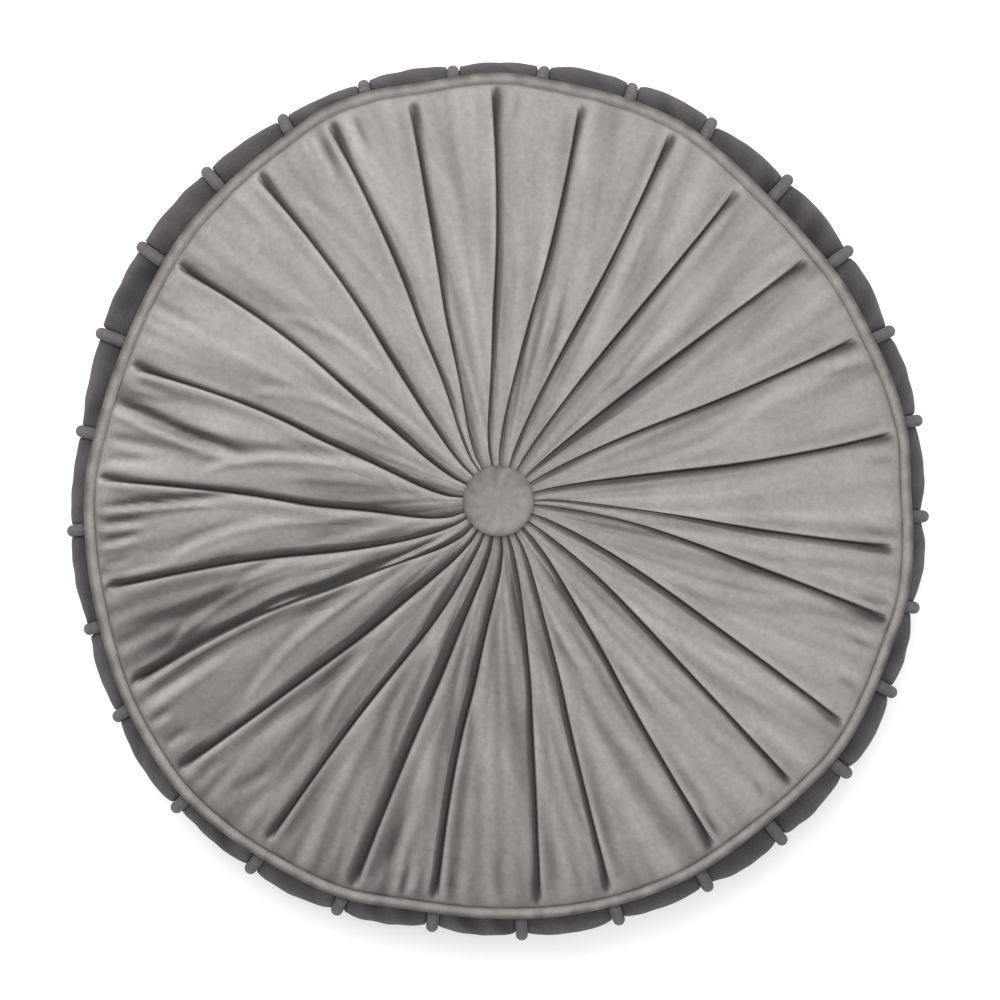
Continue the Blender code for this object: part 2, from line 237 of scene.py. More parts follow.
# Pleats of the top panel: bearing at the rim, half way, a quarter of the way out and at the
# button; how deep the fold is and how wide it stands open, against an ordinary one.
PLEATS = (
    (-0.5, -1.2, -5.0, -11.5, 1.0, 1.2), (12.0, 10.4, 5.8, 0.7, 0.9, 1.0),
    (25.4, 24.1, 20.4, 16.5, 1.0, 1.0), (37.7, 35.5, 32.7, 29.8, 1.0, 1.1),
    (52.0, 50.2, 48.4, 46.6, 1.2, 2.3), (65.8, 64.6, 61.5, 59.2, 0.9, 1.0),
    (80.5, 80.7, 78.2, 75.4, 1.1, 1.2), (96.9, 95.3, 92.2, 88.2, 1.0, 1.1),
    (107.0, 102.3, 97.9, 95.3, 1.2, 1.3), (123.0, 118.4, 113.6, 109.8, 0.9, 1.0),
    (134.1, 130.6, 126.4, 123.7, 0.9, 0.8), (148.3, 145.9, 141.5, 136.4, 1.0, 0.8),
    (164.3, 161.5, 157.2, 151.3, 0.9, 0.8), (174.4, 170.7, 166.9, 162.9, 0.9, 0.9),
    (189.2, 187.9, 182.8, 174.7, 1.3, 1.0), (200.7, 198.4, 194.4, 188.4, 1.2, 1.6),
    (214.4, 211.4, 205.8, 202.4, 0.9, 0.8), (230.2, 225.4, 220.0, 213.5, 1.1, 1.3),
    (243.8, 242.8, 235.8, 224.8, 1.1, 1.2), (257.8, 254.4, 247.0, 240.5, 1.0, 1.3),
    (273.5, 269.3, 261.8, 251.0, 1.1, 1.1), (290.4, 289.5, 283.6, 274.8, 1.0, 1.0),
    (306.5, 306.8, 302.2, 296.3, 1.1, 1.2), (323.7, 323.5, 319.0, 313.8, 1.0, 1.1),
    (336.0, 336.2, 333.3, 326.3, 1.0, 1.1), (347.8, 344.5, 340.2, 332.6, 1.0, 1.3),
)
PLEAT_SHARES = (0.12, 0.245, 0.49, 0.98)
# How far out each pleat is stitched down before the cloth lies flat at the seam.
PLEAT_ENDS = (0.988, 0.975, 0.984, 0.975, 0.978, 0.978, 0.986, 0.968, 0.984, 0.985, 0.984,
              0.985, 0.984, 0.984, 0.984, 0.984, 0.970, 0.978, 0.976, 0.980, 0.984, 0.980,
              0.984, 0.986, 0.980, 0.975)
# How lively the cloth is between a pleat and the next one.
CALM = (0.45, 0.5, 0.6, 0.7, 0.8, 0.7, 0.7, 0.9, 0.8, 0.6, 0.45, 0.4, 0.35, 0.4, 0.4, 0.4, 0.45,
        0.6, 0.8, 0.9, 0.9, 0.9, 0.8, 0.6, 0.45, 0.4)
# How hard each pleat pulls the cloth in at its outer end.
DIMPLES = (0.8, 0.7, 1.1, 0.9, 1.0, 1.0, 0.9, 1.3, 1.2, 0.9, 0.7, 0.9, 0.8, 0.9, 1.0, 1.0, 0.9,
           1.0, 1.0, 1.1, 1.0, 1.3, 1.6, 1.2, 1.2, 1.1)

# Shorter creases: bearing and share where each begins and ends, depth and width in mm.
CREASES = (
    (268.9, 0.99, 271.3, 0.60, 3.0, 2.6), (243.4, 0.99, 245.5, 0.72, 2.2, 3.0),
    (246.0, 0.62, 240.6, 0.24, 3.4, 2.7), (284.8, 1.02, 280.2, 0.62, 5.6, 4.4),
    (240.4, 0.99, 241.6, 0.72, 1.5, 4.0), (2.4, 0.99, 2.0, 0.90, 1.2, 3.0),
    (68.9, 0.98, 68.4, 0.84, 1.7, 3.5), (83.6, 0.99, 83.2, 0.90, 1.4, 3.0),
    (104.3, 0.99, 104.2, 0.89, 2.4, 3.0), (111.0, 0.99, 110.6, 0.90, 1.3, 3.0),
    (117.0, 0.99, 117.0, 0.91, 1.5, 3.0), (146.0, 0.99, 146.4, 0.88, 2.2, 2.8),
    (137.9, 0.97, 137.0, 0.91, 0.9, 3.0), (266.4, 0.99, 266.9, 0.86, 2.0, 2.6),
    (263.8, 0.99, 264.6, 0.88, 1.8, 2.4), (333.6, 0.99, 333.7, 0.86, 2.4, 2.8),
    (339.0, 0.98, 339.2, 0.88, 1.7, 3.2), (318.4, 0.98, 318.0, 0.84, 0.7, 5.0),
    (179.5, 0.97, 179.6, 0.84, 0.8, 4.0), (196.8, 0.93, 196.0, 0.76, 1.2, 4.0),
    (170.2, 0.96, 170.8, 0.82, 0.8, 4.0), (161.5, 0.92, 161.0, 0.70, 0.7, 4.0),
    (222.0, 0.93, 220.6, 0.82, 1.2, 4.0), (225.6, 0.80, 223.0, 0.42, 1.6, 6.0),
    (186.0, 0.60, 188.0, 0.34, 1.8, 3.5), (16.6, 0.54, 19.6, 0.22, 1.8, 3.5),
    (206.8, 0.42, 207.6, 0.26, 1.8, 3.5), (152.4, 0.50, 157.0, 0.30, 1.0, 4.0),
    (43.0, 0.48, 45.8, 0.30, 1.0, 4.0), (94.4, 0.99, 94.0, 0.90, 1.4, 3.0),
    (47.3, 0.99, 47.0, 0.92, 0.9, 3.5), (38.8, 0.98, 40.0, 0.70, 0.7, 4.0),
    (288.0, 0.98, 288.4, 0.86, 1.3, 3.0), (276.2, 0.99, 276.6, 0.86, 1.6, 3.0),
    (279.2, 0.99, 278.8, 0.84, 1.5, 3.0), (260.6, 0.99, 261.2, 0.90, 1.2, 3.0),
    (254.0, 0.66, 255.6, 0.50, 1.6, 3.0), (251.5, 0.96, 248.0, 0.60, 0.9, 6.0),
    (234.0, 0.99, 233.6, 0.90, 1.2, 3.5), (237.6, 0.99, 237.4, 0.92, 1.0, 3.0),
    (193.6, 0.99, 193.4, 0.91, 1.2, 3.5), (186.5, 0.99, 186.3, 0.92, 0.8, 3.5),
    (244.4, 0.86, 245.8, 0.48, 3.0, 2.5), (241.6, 0.34, 237.4, 0.13, 2.2, 2.0),
    (249.6, 0.86, 250.2, 0.44, 2.0, 7.5), (218.6, 0.94, 216.8, 0.62, 1.0, 6.0),
)
# Section of a fold across its pleat: place and height, up over the lip, down to the floor and
# out again.  Both are in units of the fold's size.
FOLD = ((-3.2, 0.00), (-2.2, 0.10), (-1.35, 0.22), (-0.6, 0.29), (0.0, 0.22), (0.34, 0.02),
        (0.44, -0.25), (0.26, -0.52), (0.02, -0.78), (0.06, -1.02), (0.38, -1.08),
        (0.78, -0.90), (1.20, -0.62), (1.75, -0.36), (2.60, -0.14), (3.70, 0.00))
# Where the same columns lie once the fold has run out into flat cloth.
FLAT = (-3.2, -2.2, -1.35, -0.65, -0.20, 0.0, 0.06, 0.12, 0.18, 0.24, 0.30, 0.60, 1.0, 1.6,
        2.5, 3.70)
# How much painted shade darkens each of those columns inside the fold.
FOLD_SHADE = (0, 0, 0, 0, 0, 1, 1, 1, 1, 0.85, 0.60, 0.35, 0.15, 0, 0, 0)
LIP_COLUMNS = 5              # the first ones, which still belong to the puff before the pleat


def crown(ring):
    """Height of the top panel's middle line."""
    rise = CROWN_TOP - Z_TOP
    hub = (HUB_TOP + HALF_CLOTH - Z_TOP) / rise
    return Z_TOP + rise * through(
        (0.0, 0.022, 0.034, 0.050, 0.072, 0.105, 0.150, 0.195, 0.225, 0.248, 0.263, 0.271,
         0.2745, 0.2763),
        (hub, hub, hub + 0.13, 0.42, 0.62, 0.82, 0.96, 0.98, 0.93, 0.80, 0.61, 0.42, 0.24,
         0.03),
        ring)


def belly(ring):
    """Height of the bottom panel's middle line."""
    return through(
        (0.0, 0.024, 0.036, 0.052, 0.070, 0.085, 0.200, 0.232, 0.248, 0.262, 0.2763),
        (HUB_BOTTOM, HUB_BOTTOM, 0.0105, 0.0050, 0.0012, 0.0, 0.0, 0.0004, 0.0026, 0.0066,
         0.0118), ring)


# ---- panels -------------------------------------------------------------------------
# Shares of the rows of a panel's face, closer together near the button and near the seam,
# and of the rows of its plain back, from the seam inwards.
ROWS = np.concatenate([np.linspace(0.030, 0.10, 14)[:-1], np.linspace(0.10, 0.32, 44)[:-1],
                       np.linspace(0.32, 0.90, 76)[:-1], np.linspace(0.90, 1.0, 26)])
SHARE = ROWS[:, None]
RADII = ROWS * EDGE
BACK_ROWS = np.concatenate([[1.0, 0.985, 0.955], np.linspace(0.92, 0.13, 22),
                            [0.11, 0.09, 0.07, 0.05, 0.030]])
BETWEEN = 24                 # steps from one fold to the next
HALF_FOLD = 1.4 * MM         # from a pleat's lip to the middle of its dark line
FOLD_ROOM = 0.125            # largest share of the way to the next pleat for a fold's size
FOLD_MOUTH = 0.38            # past this a fold's section stretches with the pleat's openness
FADE_START, FADE_END = 0.045, 0.006      # where a fold dies away, before and past its end
SHADE_START, SHADE_END = 0.035, 0.004    # the same for its painted shade
TOE = 0.25                   # degrees that a pleat's outer end turns back at the seam
DIMPLE_DEPTH = 2.7 * MM
DIMPLE_INSET = 0.012         # share from a dimple's middle out to the end of its pleat
DIMPLE_OUT, DIMPLE_IN = 0.014, 0.060     # how far it reaches outwards and inwards, as shares
DIMPLE_WIDTH = 2.8           # half width, in mm


def pleat_lines(shift):
    """Bearing of every pleat along the rows, and the first one again a turn later."""
    half = np.degrees(HALF_FOLD * smooth(0.0, 0.4, ROWS) / RADII)
    lines = [through(PLEAT_SHARES, pleat[3::-1], ROWS) - half - TOE * smooth(0.8, 1.0, ROWS)
             + shift for pleat in PLEATS]
    return lines + [lines[0] + 360.0]


def puff_sides(lines, puff):
    """The pleats on either side of a puff; the puff before the first pleat is number -1."""
    if puff < 0:
        return lines[-2] - 360.0, lines[0]
    return lines[puff], lines[puff + 1]


def pleat_columns(lines, strength):
    """Bearing and fold height of every column, and the (puff, painted shade) that goes with each.
    """
    count = len(PLEATS)
    widths = [np.radians(lines[i + 1] - lines[i]) * RADII for i in range(count)]
    unit = through((0.0, 0.10, 0.25, 0.50, 0.75, 0.93, 0.985, 1.0),
                   (1.6, 2.2, 2.7, 3.1, 2.9, 3.0, 2.6, 1.4), ROWS) * MM
    units = [np.minimum(unit, FOLD_ROOM * np.minimum(widths[i], widths[i - 1]))
             for i in range(count)]
    # The size of the fold that ends each puff; only the last puff limits its own.
    following = units[1:] + [np.minimum(unit, FOLD_ROOM * widths[-1])]
    columns, heights, tags = [], [], []
    for i, (rim, _, _, _, depth, openness) in enumerate(PLEATS):
        here, there, size = lines[i], lines[i + 1], units[i]
        alive = 1 - smooth(PLEAT_ENDS[i] - FADE_START, PLEAT_ENDS[i] + FADE_END, ROWS)
        # Folds on the side away from the light stand a little deeper and wider.
        mood = 1.0 - (0.12 + 0.16 * (1 - smooth(0.30, 0.52, ROWS))) * math.cos(
            math.radians(rim - 10.0))
        deep = through((0.0, 0.08, 0.13, 0.25, 0.50, 0.75, 0.93, 1.0),
                       (0.0, 0.5, 1.35, 1.15, 1.30, 1.20, 1.30, 1.2), ROWS) * alive * mood
        stretch = openness * mood * through((0.0, 0.15, 0.30, 0.50, 0.75, 1.0),
                                            (0.44, 0.44, 0.46, 0.44, 0.44, 0.46), ROWS)
        for place, (folded, height) in enumerate(FOLD):
            along = folded * alive + FLAT[place] * (1 - alive)
            wide = size * np.where(along > FOLD_MOUTH,
                                   FOLD_MOUTH + (along - FOLD_MOUTH) * stretch, along)
            columns.append(here + np.degrees(wide / RADII))
            lasting = alive if height > 0 else 1.0
            heights.append(height * size * deep * lasting * depth * strength)
            tags.append((i - 1 if place < LIP_COLUMNS else i, FOLD_SHADE[place]))
        mouth = FOLD_MOUTH + (FOLD[-1][0] - FOLD_MOUTH) * stretch
        first = here + np.degrees(mouth * size / RADII)
        final = there + np.degrees(FOLD[0][0] * following[i] / RADII)
        for k in range(1, BETWEEN):
            columns.append(first + (final - first) * k / BETWEEN)
            heights.append(np.zeros(len(ROWS)))
            tags.append((i, 0.0))
    return np.stack(columns, axis=1), np.stack(heights, axis=1), tags


def puffs(lines, bearing, tags):
    """Height of the cloth that swells between two pleats, with the soft fold that crosses it."""
    rng = np.random.default_rng(11)
    cross = rng.uniform(0.45, 1.0, len(PLEATS))
    begin = rng.uniform(0.68, 0.90, len(PLEATS))
    end = rng.uniform(0.28, 0.38, len(PLEATS))
    swell = through((0.0, 0.08, 0.13, 0.25, 0.50, 0.75, 1.0),
                    (0.0, 0.6, 1.9, 2.3, 1.8, 1.1, 0.5), ROWS) * MM
    heights = np.zeros_like(bearing)
    for c, (puff, _) in enumerate(tags):
        here, there = puff_sides(lines, puff)
        phase = np.clip((bearing[:, c] - here) / (there - here), 0.0, 1.0)
        run = np.clip((begin[puff] - ROWS) / (begin[puff] - end[puff]), 0, 1)
        offset = (phase - 0.12 - 0.80 * run ** 0.8) * np.radians(there - here) * RADII / MM
        fade = smooth(0.0, 0.12, run) * (1 - smooth(0.85, 1.0, run))
        quiet = (0.70 - 0.18 * math.cos(math.radians(PLEATS[puff][0] - 50.0))) * CALM[puff]
        soft = fade * cross[puff] * quiet * 1.1 * MM * (bell(offset / 3.0)
                                                        - bell((offset - 6.5) / 4.4))
        heights[:, c] = swell * np.sin(math.pi * phase) ** 0.8 + soft
    return heights


def creases(lines, bearing, shift):
    """Height of the short creases and of the dimples at the seam, and the painted shade at each
    point.
    """
    marks = np.zeros_like(bearing)
    painted_crease_shade = np.zeros_like(bearing)
    to_mm = np.pi / 180.0 * SHARE * EDGE / MM
    for b0, s0, b1, s1, depth, width in CREASES:
        run = (s0 - SHARE) / (s0 - s1)
        away = from_bearing(bearing, b0 + (b1 - b0) * np.clip(run, 0, 1) + shift) * to_mm
        fade = smooth(-0.10, 0.30, run) * (1 - smooth(0.50, 1.10, run))
        marks += fade * depth * MM * (0.35 * bell((away + 1.7 * width) / width)
                                      - bell(away / width))
        # Painted shade along the crease.
        painted_crease_shade += fade * min(depth / 6.0, 0.7) * bell(away / width)
    near_seam = -12                      # a row just inside the seam
    for line, pleat_end, strength in zip(lines, PLEAT_ENDS, DIMPLES):
        away = from_bearing(bearing, line[near_seam] + 0.35) * to_mm
        far = SHARE - pleat_end + DIMPLE_INSET
        reach = np.where(far > 0, DIMPLE_OUT, DIMPLE_IN)
        pit = strength * bell(far / reach) * bell((away - 0.9) / DIMPLE_WIDTH)
        marks -= DIMPLE_DEPTH * pit
        # Painted shade in the dimple.
        painted_crease_shade += pit
    return marks, painted_crease_shade


def wrinkles(bearing, tags, shift):
    """Height of the puckers and drag lines, strongest towards the left of the picture."""
    calm = np.array([CALM[puff] for puff, _ in tags])[None, :]
    calm = (calm + np.roll(calm, 9, axis=1) + np.roll(calm, -9, axis=1)) / 3
    busy = (0.5 + 0.5 * np.cos(np.radians(bearing - shift - 256.0))) ** 1.5
    rim = smooth(0.80, 0.99, SHARE) * (1 - 0.6 * smooth(0.985, 1.0, SHARE))
    inner = calm * smooth(0.10, 0.35, SHARE)
    pucker = ripple(3, 26, (90, 190), (2, 9))(bearing, SHARE)
    wrinkle = ripple(5, 22, (26, 80), (6, 24))(bearing, SHARE)
    broad = ripple(8, 14, (6, 20), (4, 14))(bearing, SHARE)
    fine = ripple(9, 30, (120, 260), (20, 70))(bearing, SHARE)
    return MM * (pucker * (0.06 + 0.18 * busy) * rim
                 + wrinkle * (0.08 + 0.13 * busy) * inner * (0.25 + 0.75 * SHARE)
                 + broad * (0.26 + 0.44 * busy) * inner * (1 - smooth(0.93, 1.0, SHARE))
                 + fine * 0.025 * smooth(0.35, 0.85, SHARE))


def rim_sway(share, bearing, shift, sway_share):
    return RIM_SWAY(bearing - shift) * sway_share * smooth(0.35, 1.0, share)


def panel_back(bearing, rim_level, top, shift, sway_share):
    """Plain smooth layer under the face, whose folds lean over their own floors."""
    spacing = np.linspace(0, 1, bearing.shape[1], endpoint=False) * 360.0
    sign = 1.0 if top else -1.0
    layers = []
    for s in BACK_ROWS:
        near = bearing[int(np.argmin(np.abs(ROWS - s)))]
        keep = smooth(0.94, 1.0, s)
        turn = near * keep + (spacing + near[0]) * (1 - keep)
        drop = through((0.0, 0.08, 0.13, 0.22, 0.90, 0.96, 1.0),
                       (1.2, 2.2, 6.0, 11.0, 11.0, 6.5, 1.4), s) * MM
        if s == 1.0:
            level = rim_level - sign * drop
        else:
            level = (crown if top else belly)(s * EDGE) - sign * drop
        layers.append(xyz(s * EDGE + rim_sway(s, turn, shift, sway_share), turn, level))
    return np.stack(layers)


def panel_tone_and_shading(face, bearing, painted_crease_shade, tags, shift):
    """Painted light and shade of a panel from its own slopes: painted highlight on the lips,
    painted shade in the folds, with some mottling of the cloth's own.
    """
    normal = np.cross(np.roll(face, -1, axis=1) - np.roll(face, 1, axis=1),
                      np.gradient(face, axis=0))
    normal /= np.maximum(np.linalg.norm(normal, axis=-1, keepdims=True), 1e-12)
    normal *= 1.0 if normal[..., 2].mean() > 0 else -1.0
    turn = np.radians(bearing)
    lean = np.clip(normal[..., 0] * np.cos(turn) - normal[..., 1] * np.sin(turn), -0.6, 0.4)
    # Painted highlight where the cloth leans clockwise, painted shade where it leans the other
    # way.
    gain = 0.92 - 0.08 * np.cos(turn - math.radians(shift + 40.0))
    tone = 0.51 + gain * np.where(lean > 0, PAINTED_HIGHLIGHT(bearing - shift) * lean, lean)
    # Painted light and shade round the panel: more painted light towards the lamp at the top,
    # painted shade towards the button.
    tone += PAINTED_LIGHT_SWAY(bearing - shift) * (0.5 + 0.5 * SHARE)
    tone += 0.115 * np.cos(turn - math.radians(shift + 358.0))
    tone -= 0.12 * (1 - smooth(0.12, 0.55, SHARE))
    # Patches of painted light and shade.
    for b0, s0, b1, s1, wide, amount in PAINTED_LIGHT_PATCHES:
        run = (s0 - SHARE) / (s0 - s1)
        away = from_bearing(bearing, b0 + (b1 - b0) * np.clip(run, -0.2, 1.2) + shift)
        fade = smooth(-0.20, 0.25, run) * (1 - smooth(0.75, 1.25, run))
        tone += amount * fade * bell(away / wide)
    # Painted shade at the seam and in the creases and dimples.
    tone *= 1 - 0.6 * smooth(0.991, 1.0, SHARE)
    tone *= 1 - 0.62 * np.clip(painted_crease_shade, 0, 1.1)
    tone += 0.05 * ripple(21, 30, (8, 60), (4, 16))(bearing, SHARE)
    tone += 0.04 * ripple(22, 30, (40, 140), (2, 10))(bearing, SHARE)
    # Painted shade inside each fold.
    for c, (pleat, shade) in enumerate(tags):
        if shade:
            tone[:, c] *= 1 - shade * (1 - smooth(PLEAT_ENDS[pleat] - SHADE_START,
                                                  PLEAT_ENDS[pleat] + SHADE_END, ROWS))
    return np.clip(tone, 0, 1)


def panel(name, top):
    """The bottom panel is the same with softer folds, turned so that its pleats don't line up."""
    shift, sway_share = (0.0, 1.0) if top else (7.0, 0.6)
    folding, puffing, marking = (1.0, 1.0, 1.0) if top else (0.5, 0.25, 0.35)
    lines = pleat_lines(shift)
    bearing, tall, tags = pleat_columns(lines, folding)
    tall += puffing * puffs(lines, bearing, tags)
    marks, painted_crease_shade = creases(lines, bearing, shift)
    tall += marking * (marks + wrinkles(bearing, tags, shift))
    tall *= 1.0 - 0.75 * smooth(0.985, 1.0, SHARE)
    ring = SHARE * EDGE + rim_sway(SHARE, bearing, shift, sway_share)
    if top:
        z = crown(SHARE * EDGE) + tall
    else:
        z = np.maximum(belly(SHARE * EDGE) - tall, 0.0)
    face = xyz(ring, bearing, z)
    back = panel_back(bearing, z[-1], top, shift, sway_share)
    tone_and_shading = np.concatenate([panel_tone_and_shading(face, bearing, painted_crease_shade, tags, shift),
                          np.full(back.shape[:2], 0.5)])
    return grid_piece(name, np.concatenate([face, back]), tone_and_shading=tone_and_shading)


# ---- side band ----------------------------------------------------------------------
def band_line(v, sway, side):
    """Ring and height of the band in its folds, v from the top seam to the bottom one.

    sway is how far the seam lies outside a true circle there, side how far the bulge does.
    """
    angle = ARC * (1 - 2 * v)
    bulge = (np.cos(angle) - math.cos(ARC)) / (1 - math.cos(ARC))
    half = (Z_TOP - Z_BOTTOM) / 2 - 2.6 * MM
    z = Z_MIDDLE + half * np.sin(angle) / math.sin(ARC)
    hem = SEAM + BAND_HEM
    return hem + sway + bulge * (VALLEY - hem + side - sway), z


def side_line(bearing, v):
    return band_line(v, RIM_SWAY(bearing) * (1 - 0.4 * v), SIDE_SWAY(bearing))


def side_band():
    row_count, back_count, middle_count = 66, 24, 18
    even = np.linspace(0, 1, row_count)
    v = (0.3 * (1 - np.cos(math.pi * even)) + 0.4 * even)[:, None]
    # Columns of one bay, between two pipings: close together beside them, even in the middle.
    near = np.array((0.0, 1.5, 2.6, 3.35, 3.85, 4.2, 4.8, 6.0)) * MM
    count = 2 * len(near) - 1 + middle_count
    stops = np.array(PIPES + [PIPES[0] + 360.0])
    bearing, phase = [], []
    for start, stop in zip(stops[:-1], stops[1:]):
        wide = math.radians(stop - start) * BAND_MEAN
        middle = np.linspace(near[-1] / wide, 1 - near[-1] / wide, middle_count + 2)[1:-1]
        f = np.concatenate([near / wide, middle, 1 - near[:0:-1] / wide])
        bearing.append(start + (stop - start) * f)
        phase.append(f)
    bearing = np.concatenate(bearing)[None, :]
    phase = np.concatenate(phase)[None, :]

    def per_bay(values):
        return np.repeat(values, count)[None, :]

    across = np.radians(np.minimum(phase, 1 - phase) * per_bay(np.diff(stops))) * BAND_MEAN / MM
    full = np.sin(math.pi * v) ** 0.7
    rng = np.random.default_rng(4)
    plump = rng.uniform(0.80, 1.10, PIPE_COUNT)
    plump[[0, 1, 2, 28]] = 1.45          # the bays at the top of the picture
    # A bay rises steeply round its pipings; bays at the lower right are the most rounded off.
    hollow, seat = PIPE_HOLLOW / MM, 4.45
    hug = (seat - np.sqrt(np.maximum(hollow ** 2 - across ** 2, 0.0))) / seat
    middles = np.radians((stops[:-1] + stops[1:]) / 2)
    round_off = per_bay(0.26 + 0.16 * np.cos(middles - math.radians(125)))
    shoulder = 1 - 0.8 * round_off * np.exp(-np.maximum(across - 4.2, 0.0) / 4.0)
    swell = (1 - round_off) * hug * shoulder + round_off * np.sin(math.pi * phase) ** 0.9
    ring, z = side_line(bearing, v)
    ring = ring + (CREST - VALLEY) * swell * full * per_bay(plump)
    at_seams = np.exp(-v / 0.07) + np.exp(-(1 - v) / 0.07)
    away = smooth(3.5, 9.0, across)
    pucker = ripple(31, 26, (120, 230), (1, 6))(bearing, v)
    crease = ripple(32, 26, (30, 120), (5, 22))(bearing, v)
    broad = ripple(33, 16, (12, 40), (3, 9))(bearing, v)
    ring = ring + away * MM * (0.30 * pucker * at_seams + 0.15 * (crease + broad) * full)
    # Drag lines that run from the corners of each length of band towards its middle.
    lean = rng.uniform(0.3, 0.7, PIPE_COUNT)
    for corner in range(4):
        slope = rng.uniform(0.6, 1.5, PIPE_COUNT)
        power = per_bay(rng.uniform(0.2, 0.9, PIPE_COUNT))
        side = phase if corner % 2 == 0 else 1 - phase
        down = v if corner < 2 else 1 - v
        line = (side - down * per_bay(slope * lean)) * 14
        reach = np.exp(-(side + down) / 0.33)
        ring = ring + away * power * 0.35 * MM * reach * np.cos(2.2 * line) * bell(line / 3)
    face = xyz(ring, bearing, z)
    back_v = np.linspace(1, 0, back_count)[:, None]
    drop = through((0.0, 0.04, 0.12, 0.88, 0.96, 1.0), (1.2, 2.5, 6.0, 6.0, 2.5, 1.2),
                   back_v) * MM
    ring, z = side_line(bearing, back_v)
    back = xyz(ring - drop, bearing, z)
    tone = 0.55 + 0.09 * ripple(34, 30, (10, 90), (3, 14))(bearing, v)
    # Painted shade beside the pipings and towards both seams, most at the top one; the ripple
    # above is the cloth's own mottling.
    tone -= 0.20 * (1 - hug)
    tone -= 0.38 * (1 - smooth(0.0, 0.47, v)) + 0.26 * smooth(0.60, 1.0, v)
    tone_and_shading = np.concatenate([np.clip(tone, 0, 1), np.full(back.shape[:2], 0.5)])
    return grid_piece("side_band_cloth", np.concatenate([face, back]), tone_and_shading=tone_and_shading)


# ---- welts and pipings ----------------------------------------------------------------
def welt(name, level, sway_share, seed):
    """Round edge cord under velvet, with its sewing tail pointing into the seam."""
    sides, steps = 28, 1160
    angle = np.linspace(0, 2 * math.pi, sides, endpoint=False)[:, None]
    bearing = np.linspace(0, 360, steps, endpoint=False)[None, :]
    tail = 1 - smooth(0.0, math.radians(30), np.abs(angle - math.pi))
    x = WELT_RADIUS * np.cos(angle) * (1 - tail) - tail * (WELT_RADIUS + WELT_TAIL)
    y = WELT_RADIUS * np.sin(angle) * (1 - 0.55 * tail)
    ring = WELT_RING + RIM_SWAY(bearing) * sway_share
    lift = 0.35 * MM * ripple(seed, 8, (5, 16), (0, 1))(bearing, 0.0)
    grow = 1 + 0.003 * ripple(seed + 1, 30, (150, 420), (0, 1))(bearing, 0.0)
    patch = ripple(seed + 2, 24, (20, 160), (0, 1))(bearing, 0.0)
    # Painted light and shade: lighter on the inner side, darker on the outer side, darker still
    # at the outer edge and where the tail goes into the seam; the patches are the cloth's own
    # mottling.
    tone = np.clip(0.46 - 0.40 * x / WELT_RADIUS + 0.05 * patch, 0, 1)
    tone *= 0.25 + 0.75 * smooth(-0.1, 0.6, np.abs(y) / WELT_RADIUS)
    return grid_piece(name, xyz(ring + x * grow, bearing, level + lift + y * grow), tone_and_shading=tone)


def piping(name, bearing, seed):
    count, sides = 74, 18
    ring, z = side_line(np.full(count, bearing), np.linspace(0.036, 0.964, count))
    along_r, along_z = np.gradient(ring), np.gradient(z)
    length = np.hypot(along_r, along_z)
    out_r, out_z = -along_z / length, along_r / length
    # The pipings at the top of the picture lie almost flush with the band.
    sunk = 1.2 * MM * bell(math.remainder(bearing - 8.0, 360.0) / 17.0)
    seat = PIPE_RADIUS + 0.35 * MM - sunk
    ring = ring + out_r * seat
    z = z + out_z * seat
    # Rounded ends where the piping is caught under the welts.
    travel = np.concatenate([[0], np.cumsum(np.hypot(np.diff(ring), np.diff(z)))])
    near = np.clip(np.minimum(travel, travel[-1] - travel) / (0.9 * PIPE_RADIUS), 0, 1)
    shape = np.sqrt(np.clip(1 - (1 - near) ** 2, 0.03, 1))
    t = np.linspace(0, 1, count)[:, None]
    angle = np.linspace(0, 2 * math.pi, sides, endpoint=False)[None, :]
    rng = np.random.default_rng(seed)
    lump = np.zeros((count, sides))
    for _ in range(9):
        k = rng.uniform(30, 95)
        turns = rng.integers(0, 3)
        lump += rng.uniform(0.3, 1.0) * np.sin(k * t + turns * angle + rng.uniform(0, 6.28))
    radius = np.minimum(PIPE_RADIUS * shape[:, None] * (1 + 0.003 * lump), PIPE_RADIUS * 1.04)
    out = radius * np.cos(angle)
    drift = 0.5 * MM * np.sin(rng.uniform(2, 5) * t + rng.uniform(0, 6.28))
    across = radius * np.sin(angle) + drift
    r = ring[:, None] + out_r[:, None] * out
    level = z[:, None] + out_z[:, None] * out
    turn = math.radians(bearing)
    grid = np.stack([r * math.sin(turn) + across * math.cos(turn),
                     r * math.cos(turn) - across * math.sin(turn), level], axis=-1)
    # Painted shade along both flanks, where the piping meets the band; a little lighter or darker
    # with its lumps.
    tone = np.clip(0.5 + 0.02 * lump - 0.18 * np.abs(np.sin(angle)), 0, 1)
    return grid_piece(name, grid, capped=True, tone_and_shading=tone)


# ---- buttons ------------------------------------------------------------------------
def outline(knots, count):
    """Radius and height, in metres, along a smooth line through knots given in mm."""
    xs = np.linspace(0, 1, len(knots))
    run = np.linspace(0, 1, count)[:, None]
    return [through(xs, [knot[axis] for knot in knots], run) * MM for axis in (0, 1)]


